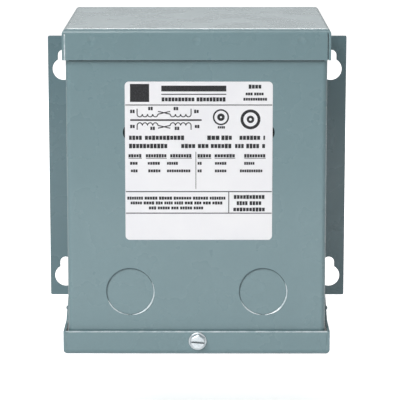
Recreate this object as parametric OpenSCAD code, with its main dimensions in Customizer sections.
// Wall-mount buck boost transformer: a potted core and coil in a folded sheet-steel case.
// Millimetres. Z is up, the front faces -Y and the wall plane is y = 0.
// The origin is on the wall plane, in the centre of the four screw rests of the keyholes.
// Modules draw from the underside of the case, and seat() moves them to that origin.

/* [Case] */
// Outside width of the case walls
case_w = 153; // [140:1:180]
// Wall plane to the outer face of the front wall
case_d = 137.7; // [128:0.1:160]
// Overall height, underside to roof
case_h = 194.5; // [182:1:230]
// Thickness of the sheet steel
sheet_t = 1.5; // [1.2:0.1:2]
// Outer radius of a bend in the sheet
bend_r = 3; // [2.4:0.1:4]
// Lower edge of the front wall above the underside
case_lift = 5; // [3.5:0.1:5.4]
// Width of the rear returns that are welded to the back plate
return_w = 12; // [8:1:16]

/* [Roof cap] */
// Height of the cap's lips, roof included
cap_lip_h = 18.3; // [12:0.1:28]
// Gap between the cap's side lips and the case
cap_side_gap = 0.3; // [0.2:0.1:1]
// Gap between the cap's front lip and the case
cap_front_gap = 0.8; // [0.3:0.1:1.5]
// Open seam where two lips meet at a corner
seam_gap = 0.4; // [0.3:0.1:1]
// How far the cap's front lip sits to the left, so that its right seam is the wider one
cap_lip_shift = 0.25; // [0:0.05:0.25]
// Radius of a weld dimple on the front lip
dimple_r = 2.5; // [1.5:0.1:4]
// Depth of a weld dimple
dimple_depth = 0.3; // [0.1:0.05:0.5]
// Spacing of the weld dimples
dimple_pitch = 61; // [40:1:64]
// Height of the weld dimples below the roof
dimple_drop = 7; // [6:0.5:9]
// Up and down spacing of the weld dimples on the back plate
rear_dimple_pitch = 42; // [30:1:50]

/* [Bottom cover] */
// Height of the cover's lips, floor included
cover_lip_h = 14.2; // [13.5:0.1:15.5]
// Gap between the cover's side lips and the case
cover_side_gap = 1.3; // [0.8:0.1:2]
// Gap between the cover's front lip and the case, room for its swing
cover_front_gap = 1.8; // [1.8:0.1:3]
// Outer radius of the cover's bends
cover_bend_r = 3.2; // [2.4:0.1:4]
// Radius of the rounded ears
ear_r = 8; // [6:0.5:9]
// Where the ears start to rise, in front of the pins
ear_rise = 22; // [20:1:30]
// Gap between the cover's floor and the fixed shelf behind it
shelf_gap = 2; // [1.8:0.1:3]

/* [Hinge pins] */
// Pin centre behind the front wall
hinge_setback = 47.7; // [44:0.1:56]
// Pin centre above the underside
hinge_z = 16.7; // [16:0.1:18.5]
// Radius of the pin's shank
pin_r = 1.2; // [1:0.1:1.8]
// How far the pin stands proud of the ear
pin_proud = 1.4; // [0.8:0.1:3]
// Radius of the pin's inner head
pin_head_r = 3; // [2.4:0.1:4]
// Thickness of the pin's inner head
pin_head_t = 1.2; // [0.8:0.1:2]
// Radius of the collar between the wall and the ear
pin_collar_r = 2.2; // [2:0.1:3]
// Running clearance between the pin and the ear
pin_clear = 0.1; // [0.05:0.01:0.15]

/* [Cover screw] */
// Screw centre to the right of the middle
screw_x = 0.6; // [-3:0.1:3]
// Screw centre above the underside
screw_z = 8.4; // [8:0.1:8.8]
// Radius of the washer face under the head
screw_washer_r = 5.35; // [5:0.05:5.5]
// Thickness of the washer face
screw_washer_t = 0.9; // [0.6:0.1:1.2]
// Hexagon across its flats
screw_hex_w = 7.9; // [7:0.1:8.4]
// Height of the head, washer face included
screw_head_h = 3.6; // [2.8:0.1:4.5]
// Width of the driver slot
screw_slot_w = 1.2; // [1:0.1:1.8]
// Depth of the driver slot
screw_slot_depth = 1.4; // [0.8:0.1:1.8]
// Turn of the head in degrees
screw_turn = 4; // [-90:1:90]
// Radius of the screw's shank
screw_r = 2.4; // [2.2:0.01:2.45]
// Shank length under the head
screw_len = 11; // [10:0.5:20]
// Radius of the clearance hole in the cover's lip
screw_hole_r = 2.7; // [2.6:0.05:2.9]
// Width of the square nut
nut_w = 9.5; // [8:0.1:10]
// Thickness of the square nut
nut_t = 3.2; // [2.4:0.1:4]

/* [Knockouts] */
// Diameter of a knockout
knockout_d = 28.3; // [20:0.1:34]
// Spacing of the two knockouts
knockout_pitch = 78.9; // [60:0.1:92]
// Knockout centre above the underside
knockout_z = 37.8; // [34:0.1:44]
// Width of the sheared slit round a slug
knockout_slit = 0.25; // [0.15:0.05:0.4]
// How far a slug is pushed in
knockout_step = 0.4; // [0.2:0.05:0.8]
// Width of the tie that holds a slug
tie_w = 1.6; // [1:0.1:3]

/* [Back plate] */
// Width of a mounting flange beside the case
flange_w = 19.9; // [17:0.1:40]
// Lower edge of the flanges above the underside
plate_low = 4.7; // [3.2:0.1:5]
// Gap between the plate's top edge and the cap's lip
plate_top_gap = 0.4; // [0.2:0.1:1]
// Corner radius of the flanges
plate_corner_r = 1; // [0.5:0.1:3]
// Screw rest of the lower keyholes above the underside
keyhole_z = 26.5; // [24:0.1:34]
// Screw rest of the upper keyholes below the plate's top edge
keyhole_drop = 12.7; // [10:0.1:20]
// Width of a keyhole's slot
keyhole_slot_w = 7.2; // [5:0.1:9]
// Diameter of a keyhole's entry circle
keyhole_entry_d = 14.2; // [12:0.1:15]
// Entry circle below the screw rest
keyhole_rise = 9; // [7:0.1:11]

/* [Rating label] */
// Width of the label
label_w = 86.6; // [40:0.1:110]
// Height of the label
label_h = 94.3; // [40:0.1:100]
// Label centre to the right of the middle
label_x = 1.3; // [-10:0.1:10]
// Label centre above the underside
label_z = 116.4; // [105:0.1:120]
// Corner radius of the label
label_r = 2.5; // [1:0.1:6]
// Thickness of the label
label_t = 0.2; // [0.1:0.05:0.4]
// Diameter of the two fill holes behind the label
fill_hole_d = 10; // [6:0.5:14]
// How far a fill hole shows beside the label
fill_hole_show = 0.9; // [0.3:0.1:2]
// Fill holes above the underside
fill_hole_z = 133.5; // [120:1:150]

/* [Wiring compartment] */
// Underside of the barrier board above the underside of the case
compartment_h = 62.5; // [56:1:66]
// Thickness of the barrier board
board_t = 2; // [1:0.1:3]
// Clearance round what passes through or sits in a hole
fit_gap = 0.15; // [0.1:0.05:0.3]
// Earth stud to the right-hand wall
ground_inset = 20; // [12:1:34]
// Earth stud above the underside
ground_z = 40.5; // [30:1:50]
// Radius of the earth stud
ground_r = 2.4; // [2:0.1:3]
// Length of the earth stud
ground_len = 14; // [10:1:20]
// Back plate to the nut on the earth stud
ground_nut_gap = 4.7; // [3:0.1:5]

/* [Core and coil] */
// Case wall to the side of the core
core_side_gap = 22.5; // [18:0.5:30]
// Case wall's top edge to the top of the core
core_top_gap = 29.5; // [20:0.5:50]
// Thickness of the lamination stack
stack_t = 50; // [40:1:60]
// Core above the barrier board
core_lift = 10; // [6:1:14]
// Thickness of the core's clamp frames
clamp_t = 2; // [1.5:0.1:3]
// Radius of the core bolts
bolt_r = 2.5; // [2:0.1:3]
// Wall of the coil former
bobbin_t = 1.5; // [1:0.1:2]
// Gap between the coil former's flanges and the outer legs
flange_gap = 2.9; // [2:0.1:4]
// How far the coil stays inside the rim of the flanges
coil_inset = 0.8; // [0.4:0.1:2]
// Inner winding's share of the room for wire
primary_share = 0.52; // [0.4:0.01:0.6]
// Insulation between the windings, and round them
insulation_t = 0.6; // [0.3:0.1:1]

/* [Leads] */
// How far the outermost leads stay inside the coil former's flanges
lead_inset = 0.6; // [0:0.1:3]
// Radius of the thin leads, insulation included
lead_h_r = 1.7; // [1.2:0.1:2]
// Radius of the heavy leads, insulation included
lead_x_r = 2.4; // [1.8:0.1:3]
// Copper share of a lead's radius
copper_share = 0.55; // [0.4:0.05:0.7]
// Radius of a lead's bend, on its centre line
lead_bend_r = 8; // [6:0.5:10]
// Height of the lower leads' run
lead_run_z = 15; // [12:1:17]
// Step up to the higher leads' run
lead_run_step = 9; // [8:1:11]
// Length of the shortest lead's run
lead_run = 32; // [20:1:36]
// Step in length from lead to lead
lead_run_grow = 3; // [1:1:3]
// Length of a stripped end
strip_len = 9; // [6:1:12]

/* [Hidden] */
$fn = 64;

PAINT = [0.50, 0.60, 0.62];
ZINC = [0.82, 0.82, 0.80];
LABEL = [0.94, 0.94, 0.94];
IRON = [0.33, 0.35, 0.37];
COPPER = [0.72, 0.42, 0.24];
ENAMEL = [0.55, 0.24, 0.12];
FIBRE = [0.76, 0.68, 0.52];
COMPOUND = [0.20, 0.19, 0.18];
BLACK = [0.08, 0.08, 0.08];
YELLOW = [0.82, 0.68, 0.16];
GREEN = [0.16, 0.45, 0.22];

// Far enough past a face for a clean cut
past = 1;
// Cutter for one sheet, centred on it
sheet_cut = 4 * sheet_t;

// Hexagon heads and nuts: radius to the corners and height, as shares of the thread's radius
hex_sides = 6;
hex_half_angle = 180 / hex_sides;
hex_radius_share = 1.8;
hex_height_share = 1.4;
// Bevel of a hexagon's corners, in degrees off the flat
hex_bevel = 30;

// Inside of the case
inner_w = case_w - 2 * sheet_t;
front_in = -case_d + sheet_t;
rear_in = -2 * sheet_t;

// Cap and cover, outside
cap_w = case_w + 2 * (cap_side_gap + sheet_t);
cap_d = case_d + cap_front_gap + sheet_t;
cover_w = case_w + 2 * (cover_side_gap + sheet_t);
cover_front = -case_d - cover_front_gap - sheet_t;

// The cover turns about this line, and its floor ends a hinge height in front of it,
// so that the floor's rear edge drops clear of the shelf
hinge_y = -case_d + hinge_setback;
cover_back = hinge_y - hinge_z;
shelf_front = cover_back + shelf_gap;
cover_d = cover_back - cover_front;

// The walls end below the cap's bends, and the cap is welded to the rear returns
wall_top = case_h - bend_r;
return_mid_x = (case_w - return_w) / 2;

// Back plate, with its keyholes in the middle of the flanges
plate_w = case_w + 2 * flange_w;
plate_top = case_h - cap_lip_h - plate_top_gap;
keyhole_x = (case_w + flange_w) / 2;
keyhole_high_z = plate_top - keyhole_drop;
pattern_z = (keyhole_z + keyhole_high_z) / 2;

// Laminations: two windows, with the outer legs and the yokes half as wide as the centre leg.
// Outer legs, windows and the halves of the centre leg are all one share of the core's width.
core_shares = 6;
core_w = inner_w - 2 * core_side_gap;
leg_w = core_w / core_shares;
tongue_w = 2 * leg_w;
window_w = leg_w;
board_top = compartment_h + board_t;
core_bottom = board_top + core_lift;
core_h = wall_top - core_top_gap - core_bottom;
window_h = core_h - 2 * leg_w;
window_mid = core_bottom + core_h / 2;
core_y = (front_in + rear_in) / 2;
fill_top = wall_top - fit_gap;
ground_x = inner_w / 2 - ground_inset;
bolt_inset = leg_w / 2;
bolt_head_r = hex_radius_share * bolt_r;
bolt_head_h = hex_height_share * bolt_r;

// Coil layers, measured outwards from the centre leg
tube_in = 2 * fit_gap;
tube_out = tube_in + bobbin_t;
flange_reach = window_w - flange_gap;
wrap_out = flange_reach - coil_inset;
secondary_out = wrap_out - insulation_t;
primary_out = tube_out + primary_share * (secondary_out - insulation_t - tube_out);
insulation_out = primary_out + insulation_t;
coil_h = window_h - 2 * fit_gap;
winding_h = coil_h - 2 * bobbin_t;
coil_low = window_mid - winding_h / 2;

// Four thin leads and four heavy ones come down behind the core from the coil's lower flange
lead_count = 8;
lead_set = lead_count / 2;
lead_pitch = (tongue_w + 2 * (flange_reach - lead_inset)) / (lead_count - 1);
lead_y = core_y + stack_t / 2 + (tube_out + wrap_out) / 2;
lead_top = window_mid - coil_h / 2;

module seat() {
    translate([0, 0, -pattern_z])
        children();
}

// Outline in X and Z, drawn from y = 0 towards the front
module along_y(length) {
    rotate([90, 0, 0])
        linear_extrude(length)
            children();
}

// Outline in Y and Z, drawn evenly to both sides of x = 0
module along_x(length) {
    rotate([90, 0, 90])
        linear_extrude(length, center = true)
            children();
}

// A round thing that goes into the front wall from its outer face
module at_front(x, z) {
    translate([x, -case_d, z])
        rotate([-90, 0, 0])
            children();
}

// Rectangle with rounded corners on its centre
module round_rect_2d(w, h, r) {
    union() {
        square([w - 2 * r, h], center = true);
        square([w, h - 2 * r], center = true);
        for (sx = [-1, 1], sy = [-1, 1])
            translate([sx * (w / 2 - r), sy * (h / 2 - r)])
                circle(r);
    }
}

// Rectangle from the origin up and to the right, with that corner rounded
module round_corner_2d(w, h, r) {
    union() {
        translate([r, 0])
            square([w - r, h]);
        translate([0, r])
            square([w, h - r]);
        translate([r, r])
            circle(r);
    }
}

// Bent sheet seen on edge: two legs and the bend between them
module angle_2d(leg_a, leg_b, r) {
    difference() {
        round_corner_2d(leg_a, leg_b, r);
        translate([sheet_t, sheet_t])
            round_corner_2d(leg_a, leg_b, r - sheet_t);
    }
}

// Upright channel seen on edge, its web on z = 0 and its lips upwards
module channel_2d(w, h, r) {
    for (s = [0, 1])
        mirror([s, 0])
            translate([-w / 2, 0])
                intersection() {
                    angle_2d(w, h, r);
                    square([w / 2, h]);
                }
}

// Filled outline of the same channel
module channel_fill_2d(w, h, r) {
    for (s = [0, 1])
        mirror([s, 0])
            translate([-w / 2, 0])
                intersection() {
                    round_corner_2d(w, h, r);
                    square([w / 2, h]);
                }
}

// Folded pan, floor down: side lips, a front lip, and a rear lip where there is one.
// The corners are open seams, and each lip follows the other's bend. The shift moves the front
// and rear lips to the left.
module folded_pan(w, d, lip, r, rear_lip, shift) {
    // Front lip and web as far as the rear lip's bend
    module front_edge_2d(filled) {
        translate([-d, 0])
            intersection() {
                if (filled)
                    round_corner_2d(2 * d, lip, r);
                else
                    angle_2d(2 * d, lip, r);
                square([rear_lip ? d - r : d, lip]);
            }
    }
    module rear_edge_2d(filled) {
        mirror([1, 0])
            intersection() {
                if (filled)
                    round_corner_2d(d, lip, r);
                else
                    angle_2d(d, lip, r);
                square([d / 2, lip]);
            }
    }
    module edge_2d(filled) {
        front_edge_2d(filled);
        if (rear_lip)
            rear_edge_2d(filled);
    }
    intersection() {
        union() {
            translate([-shift, 0, 0])
                along_x(w - 2 * (sheet_t + seam_gap))
                    edge_2d(false);
            along_y(d)
                channel_2d(w, lip, r);
        }
        along_x(w)
            edge_2d(true);
        along_y(d)
            channel_fill_2d(w, lip, r);
    }
}

// Round bottom of a weld dimple, for a face at y = 0 that looks towards the given side
module weld_dimple(side) {
    ball_r = (dimple_r * dimple_r / dimple_depth + dimple_depth) / 2;
    translate([0, side * (ball_r - dimple_depth), 0])
        sphere(ball_r);
}

module keyhole_2d() {
    circle(d = keyhole_slot_w);
    translate([-keyhole_slot_w / 2, -keyhole_rise])
        square([keyhole_slot_w, keyhole_rise]);
    translate([0, -keyhole_rise])
        circle(d = keyhole_entry_d);
}

module back_plate() {
    color(PAINT)
        seat() {
            difference() {
                translate([0, 0, (plate_low + plate_top) / 2])
                    along_y(sheet_t)
                        round_rect_2d(plate_w, plate_top - plate_low, plate_corner_r);
                for (sx = [-1, 1], z = [keyhole_z, keyhole_high_z])
                    translate([sx * keyhole_x, past, z])
                        along_y(sheet_t + 2 * past)
                            keyhole_2d();
                for (s = [-1, 1], i = [-1, 0, 1])
                    translate([s * return_mid_x, 0, (plate_low + plate_top) / 2 + i * rear_dimple_pitch])
                        weld_dimple(1);
            }
            mirror([0, 1, 0])
                along_x(case_w)
                    angle_2d(-shelf_front, plate_low + past, bend_r);
        }
}

module knockout(x) {
    slug_r = knockout_d / 2 - knockout_slit;
    at_front(x, knockout_z) {
        translate([0, 0, knockout_step])
            cylinder(r = slug_r, h = sheet_t);
        translate([-tie_w / 2, slug_r - tie_w / 2, knockout_step])
            cube([tie_w, tie_w, sheet_t - knockout_step]);
    }
}

module case_wrap() {
    case_mid = -(case_d + sheet_t) / 2;
    case_run = case_d - sheet_t;
    fill_hole_reach = label_w / 2 + fill_hole_show - fill_hole_d / 2;
    color(PAINT)
        seat() {
            difference() {
                translate([0, 0, sheet_t])
                    linear_extrude(wall_top - sheet_t)
                        difference() {
                            translate([0, case_mid])
                                round_rect_2d(case_w, case_run, bend_r);
                            translate([0, case_mid])
                                round_rect_2d(inner_w, case_run - 2 * sheet_t, bend_r - sheet_t);
                            translate([-case_w / 2 + return_w, -case_d / 2])
                                square([case_w - 2 * return_w, case_d]);
                        }
                // The front is cut short, so that the cover's floor lies under it
                translate([-case_w, -case_d - past, 0])
                    cube([2 * case_w, case_d + past + shelf_front, case_lift]);
                // The rear returns and corners stop above the bend of the shelf
                translate([-case_w, rear_in - bend_r, 0])
                    cube([2 * case_w, bend_r - rear_in, bend_r + fit_gap]);
                // Notch that is open below, for the shank of the cover screw
                at_front(screw_x, screw_z)
                    translate([0, 0, -past])
                        cylinder(r = screw_hole_r, h = sheet_t + 2 * past);
                translate([screw_x - screw_hole_r, -case_d - past, 0])
                    cube([2 * screw_hole_r, sheet_t + 2 * past, screw_z]);
                for (s = [-1, 1]) {
                    at_front(label_x + s * fill_hole_reach, fill_hole_z)
                        translate([0, 0, -past])
                            cylinder(d = fill_hole_d, h = sheet_t + 2 * past);
                    at_front(s * knockout_pitch / 2, knockout_z)
                        translate([0, 0, -past])
                            cylinder(d = knockout_d, h = sheet_t + 2 * past);
                    translate([s * case_w / 2, hinge_y, hinge_z])
                        rotate([0, 90, 0])
                            cylinder(r = pin_r, h = sheet_cut, center = true);
                }
            }
            for (s = [-1, 1])
                knockout(s * knockout_pitch / 2);
        }
}

module top_cap() {
    color(PAINT)
        seat()
            difference() {
                translate([0, 0, case_h])
                    mirror([0, 0, 1])
                        folded_pan(cap_w, cap_d, cap_lip_h, bend_r, true, cap_lip_shift);
                for (i = [-1, 0, 1])
                    translate([i * dimple_pitch, -cap_d, case_h - dimple_drop])
                        weld_dimple(-1);
                for (s = [-1, 1])
                    translate([s * return_mid_x, 0, case_h - dimple_drop])
                        weld_dimple(1);
            }
}

// Where the tangent from a point meets a circle about the origin, on the given side
function tangent_point(p, r, side) =
    let (a = atan2(p[1], p[0]) + side * acos(r / norm(p)))
    [r * cos(a), r * sin(a)];

// Arm of a side lip with its rounded ear, seen from the side, about the pin
module ear_arm_2d() {
    top_start = [-ear_rise, cover_lip_h - hinge_z];
    low_start = [-hinge_z, cover_bend_r - hinge_z];
    difference() {
        union() {
            polygon([
                [-ear_rise, low_start[1]],
                low_start,
                tangent_point(low_start, ear_r, 1),
                [0, 0],
                tangent_point(top_start, ear_r, -1),
                top_start
            ]);
            circle(ear_r);
        }
        circle(pin_r + pin_clear);
    }
}

module bottom_cover() {
    color(PAINT)
        seat()
            difference() {
                union() {
                    translate([0, cover_back, 0])
                        folded_pan(cover_w, cover_d, cover_lip_h, cover_bend_r, false, 0);
                    for (s = [-1, 1])
                        translate([s * (cover_w - sheet_t) / 2, hinge_y, hinge_z])
                            along_x(sheet_t)
                                ear_arm_2d();
                }
                translate([screw_x, cover_front, screw_z])
                    rotate([-90, 0, 0])
                        cylinder(r = screw_hole_r, h = sheet_cut, center = true);
            }
}

// Slotted hexagon head on a washer face, with the hexagon's corners bevelled
module hex_washer_head() {
    bevel_r = screw_hex_w / 2 - 2 * fit_gap;
    bevel_run = screw_head_h / tan(hex_bevel);
    rim_t = screw_washer_t / 2;
    cylinder(r = screw_washer_r, h = rim_t);
    translate([0, 0, rim_t])
        cylinder(r1 = screw_washer_r, r2 = screw_washer_r - rim_t, h = screw_washer_t - rim_t);
    difference() {
        intersection() {
            rotate([0, 0, 90])
                cylinder(d = screw_hex_w / cos(hex_half_angle), h = screw_head_h, $fn = hex_sides);
            cylinder(r1 = bevel_r + bevel_run, r2 = bevel_r, h = screw_head_h);
        }
        translate([0, 0, screw_head_h])
            cube([2 * screw_hex_w, screw_slot_w, 2 * screw_slot_depth], center = true);
    }
}

module cover_screw() {
    color(ZINC)
        seat()
            translate([screw_x, cover_front, screw_z])
                rotate([90, 0, 0]) {
                    rotate([0, 0, -screw_turn])
                        hex_washer_head();
                    mirror([0, 0, 1]) {
                        cylinder(r = screw_r, h = screw_len - screw_r / 2);
                        translate([0, 0, screw_len - screw_r / 2])
                            cylinder(r1 = screw_r, r2 = screw_r / 2, h = screw_r / 2);
                    }
                }
}

module cover_nut() {
    color(ZINC)
        seat()
            translate([screw_x, front_in + 2 * fit_gap, screw_z])
                rotate([-90, 0, 0])
                    difference() {
                        translate([-nut_w / 2, -nut_w / 2, 0])
                            cube([nut_w, nut_w, nut_t]);
                        translate([0, 0, -past])
                            cylinder(r = screw_r + fit_gap, h = nut_t + 2 * past);
                    }
}

// Shoulder rivet: inner head, shank, and a collar that spaces the ear off the wall
module hinge_pin(side) {
    wall_in = inner_w / 2;
    tip = cover_w / 2 + pin_proud;
    color(ZINC)
        seat()
            translate([0, hinge_y, hinge_z])
                mirror([side < 0 ? 1 : 0, 0, 0])
                    rotate([0, 90, 0]) {
                        translate([0, 0, wall_in - pin_head_t])
                            cylinder(r = pin_head_r, h = pin_head_t);
                        translate([0, 0, wall_in])
                            cylinder(r = pin_r, h = tip - pin_r / 2 - wall_in);
                        translate([0, 0, tip - pin_r / 2])
                            cylinder(r1 = pin_r, r2 = pin_r / 2, h = pin_r / 2);
                        translate([0, 0, case_w / 2])
                            cylinder(r = pin_collar_r, h = cover_side_gap - 2 * fit_gap);
                    }
}

module hinge_pin_left() {
    hinge_pin(-1);
}

module hinge_pin_right() {
    hinge_pin(1);
}

module rating_label() {
    color(LABEL)
        seat()
            translate([label_x, -case_d, label_z])
                along_y(label_t)
                    round_rect_2d(label_w, label_h, label_r);
}

// Plan of the room inside the walls
module room_2d() {
    translate([0, (front_in + rear_in) / 2])
        round_rect_2d(inner_w, rear_in - front_in, bend_r - sheet_t);
}

// Leads: thin ones to the left, heavy ones to the right, on two levels
function lead_x_at(i) = (i - (lead_count - 1) / 2) * lead_pitch;
function lead_r_at(i) = i < lead_set ? lead_h_r : lead_x_r;
function run_z_at(i) = lead_run_z + (i % 2) * lead_run_step;
function run_at(i) = lead_run + (i % lead_set) * lead_run_grow;

module barrier_board() {
    color(FIBRE)
        seat()
            difference() {
                translate([0, 0, compartment_h])
                    linear_extrude(board_t)
                        room_2d();
                for (i = [0 : lead_count - 1])
                    translate([lead_x_at(i), lead_y, compartment_h - past])
                        cylinder(r = lead_r_at(i) + fit_gap, h = board_t + 2 * past);
            }
}

// Outline at a distance off the centre leg, round at its corners as wound wire is
module leg_outline_2d(off) {
    square([tongue_w + 2 * off, stack_t], center = true);
    square([tongue_w, stack_t + 2 * off], center = true);
    for (sx = [-1, 1], sy = [-1, 1])
        translate([sx * tongue_w / 2, sy * stack_t / 2])
            circle(off);
}

// A band round the centre leg, from one distance off it to another
module band(from, to, low, height) {
    translate([0, core_y, low])
        linear_extrude(height)
            difference() {
                leg_outline_2d(to);
                leg_outline_2d(from);
            }
}

module bolt_places() {
    for (sx = [-1, 1], sz = [-1, 1])
        translate([sx * (core_w / 2 - bolt_inset), 0, window_mid + sz * (core_h / 2 - bolt_inset)])
            children();
}

module bolt_holes() {
    bolt_places()
        translate([0, core_y + stack_t, 0])
            along_y(2 * stack_t)
                circle(bolt_r + fit_gap);
}

module core_e_stack() {
    color(IRON)
        seat()
            difference() {
                translate([0, core_y + stack_t / 2, core_bottom + leg_w])
                    along_y(stack_t)
                        difference() {
                            translate([-core_w / 2, 0])
                                square([core_w, core_h - leg_w]);
                            for (s = [-1, 1])
                                translate([s * (tongue_w + window_w) / 2 - window_w / 2, -past])
                                    square([window_w, window_h + past]);
                        }
                bolt_holes();
            }
}

module core_i_stack() {
    color(IRON)
        seat()
            difference() {
                translate([0, core_y + stack_t / 2, core_bottom])
                    along_y(stack_t)
                        translate([-core_w / 2, 0])
                            square([core_w, leg_w]);
                bolt_holes();
            }
}

// Frame that presses the laminations round their edge and leaves the coil free
module core_clamp(rear_face) {
    color(ZINC)
        seat()
            difference() {
                translate([0, rear_face, window_mid])
                    along_y(clamp_t)
                        difference() {
                            square([core_w, core_h], center = true);
                            square([core_w - 2 * leg_w, window_h], center = true);
                        }
                bolt_holes();
            }
}

module core_clamp_front() {
    core_clamp(core_y - stack_t / 2);
}

module core_clamp_rear() {
    core_clamp(core_y + stack_t / 2 + clamp_t);
}

module core_bolts() {
    reach = stack_t + 2 * clamp_t;
    color(ZINC)
        seat()
            bolt_places()
                translate([0, core_y - reach / 2, 0])
                    rotate([-90, 0, 0]) {
                        translate([0, 0, -bolt_head_h])
                            cylinder(r = bolt_head_r, h = bolt_head_h, $fn = hex_sides);
                        cylinder(r = bolt_r, h = reach + bolt_head_h + bolt_r);
                    }
}

module core_nuts() {
    color(ZINC)
        seat()
            bolt_places()
                translate([0, core_y + stack_t / 2 + clamp_t, 0])
                    rotate([-90, 0, 0])
                        difference() {
                            cylinder(r = bolt_head_r, h = bolt_head_h, $fn = hex_sides);
                            translate([0, 0, -past])
                                cylinder(r = bolt_r + fit_gap, h = bolt_head_h + 2 * past);
                        }
}

module coil_bobbin() {
    color(BLACK)
        seat() {
            band(tube_in, tube_out, coil_low - bobbin_t, coil_h);
            for (low = [coil_low - bobbin_t, coil_low + winding_h])
                band(tube_in, flange_reach, low, bobbin_t);
        }
}

module primary_winding() {
    color(ENAMEL)
        seat()
            band(tube_out, primary_out, coil_low, winding_h);
}

module winding_insulation() {
    color(FIBRE)
        seat()
            band(primary_out, insulation_out, coil_low, winding_h);
}

module secondary_winding() {
    color(COPPER)
        seat()
            band(insulation_out, secondary_out, coil_low, winding_h);
}

module coil_wrap() {
    color(YELLOW)
        seat()
            band(secondary_out, wrap_out, coil_low, winding_h);
}

// Everything that the compound is cast round
module cast_in() {
    bolt_room = stack_t + 2 * (clamp_t + bolt_head_h + fit_gap) + bolt_r;
    translate([-core_w / 2, core_y - stack_t / 2 - clamp_t, core_bottom])
        cube([core_w, stack_t + 2 * clamp_t, core_h]);
    translate([0, core_y, coil_low - bobbin_t])
        linear_extrude(coil_h)
            leg_outline_2d(wrap_out);
    for (low = [coil_low - bobbin_t, coil_low + winding_h])
        translate([0, core_y, low])
            linear_extrude(bobbin_t)
                leg_outline_2d(flange_reach);
    bolt_places()
        translate([0, core_y - stack_t / 2 - clamp_t - bolt_head_h - fit_gap, 0])
            rotate([-90, 0, 0])
                cylinder(r = bolt_head_r + fit_gap, h = bolt_room);
    for (i = [0 : lead_count - 1])
        translate([lead_x_at(i), lead_y, board_top - past])
            cylinder(r = lead_r_at(i) + fit_gap, h = lead_top - board_top + past);
}

module potting_compound() {
    color(COMPOUND)
        seat()
            difference() {
                translate([0, 0, board_top])
                    linear_extrude(fill_top - board_top)
                        room_2d();
                cast_in();
            }
}

// A stiff lead: down from the coil, round a bend and forwards
module lead(i) {
    r = lead_r_at(i);
    low = run_z_at(i);
    seat()
        translate([lead_x_at(i), lead_y, 0]) {
            translate([0, 0, low + lead_bend_r])
                cylinder(r = r, h = lead_top - low - lead_bend_r);
            translate([0, -lead_bend_r, low + lead_bend_r])
                rotate([90, 0, -90])
                    rotate([0, 0, 180])
                        rotate_extrude(angle = 90)
                            translate([lead_bend_r, 0])
                                circle(r);
            translate([0, -lead_bend_r, low])
                along_y(run_at(i))
                    circle(r);
        }
}

module lead_h1() { color(BLACK) lead(0); }
module lead_h2() { color(BLACK) lead(1); }
module lead_h3() { color(BLACK) lead(2); }
module lead_h4() { color(BLACK) lead(3); }
module lead_x1() { color(BLACK) lead(4); }
module lead_x2() { color(BLACK) lead(5); }
module lead_x3() { color(BLACK) lead(6); }
module lead_x4() { color(BLACK) lead(7); }

module lead_tips() {
    color(COPPER)
        seat()
            for (i = [0 : lead_count - 1])
                translate([lead_x_at(i), lead_y - lead_bend_r - run_at(i), run_z_at(i)])
                    along_y(strip_len)
                        circle(lead_r_at(i) * copper_share);
}

module ground_stud() {
    color(ZINC)
        seat()
            translate([ground_x, -sheet_t, ground_z])
                along_y(ground_len)
                    circle(ground_r);
}

module ground_nut() {
    nut_r = hex_radius_share * ground_r;
    nut_h = hex_height_share * ground_r;
    color(GREEN)
        seat()
            translate([ground_x, -sheet_t - ground_nut_gap, ground_z])
                rotate([90, 0, 0])
                    difference() {
                        cylinder(r = nut_r, h = nut_h, $fn = hex_sides);
                        translate([0, 0, -past])
                            cylinder(r = ground_r + fit_gap, h = nut_h + 2 * past);
                    }
}

back_plate();
case_wrap();
top_cap();
bottom_cover();
cover_screw();
cover_nut();
hinge_pin_left();
hinge_pin_right();
rating_label();
barrier_board();
potting_compound();
core_e_stack();
core_i_stack();
core_clamp_front();
core_clamp_rear();
core_bolts();
core_nuts();
coil_bobbin();
primary_winding();
winding_insulation();
secondary_winding();
coil_wrap();
lead_h1();
lead_h2();
lead_h3();
lead_h4();
lead_x1();
lead_x2();
lead_x3();
lead_x4();
lead_tips();
ground_stud();
ground_nut();
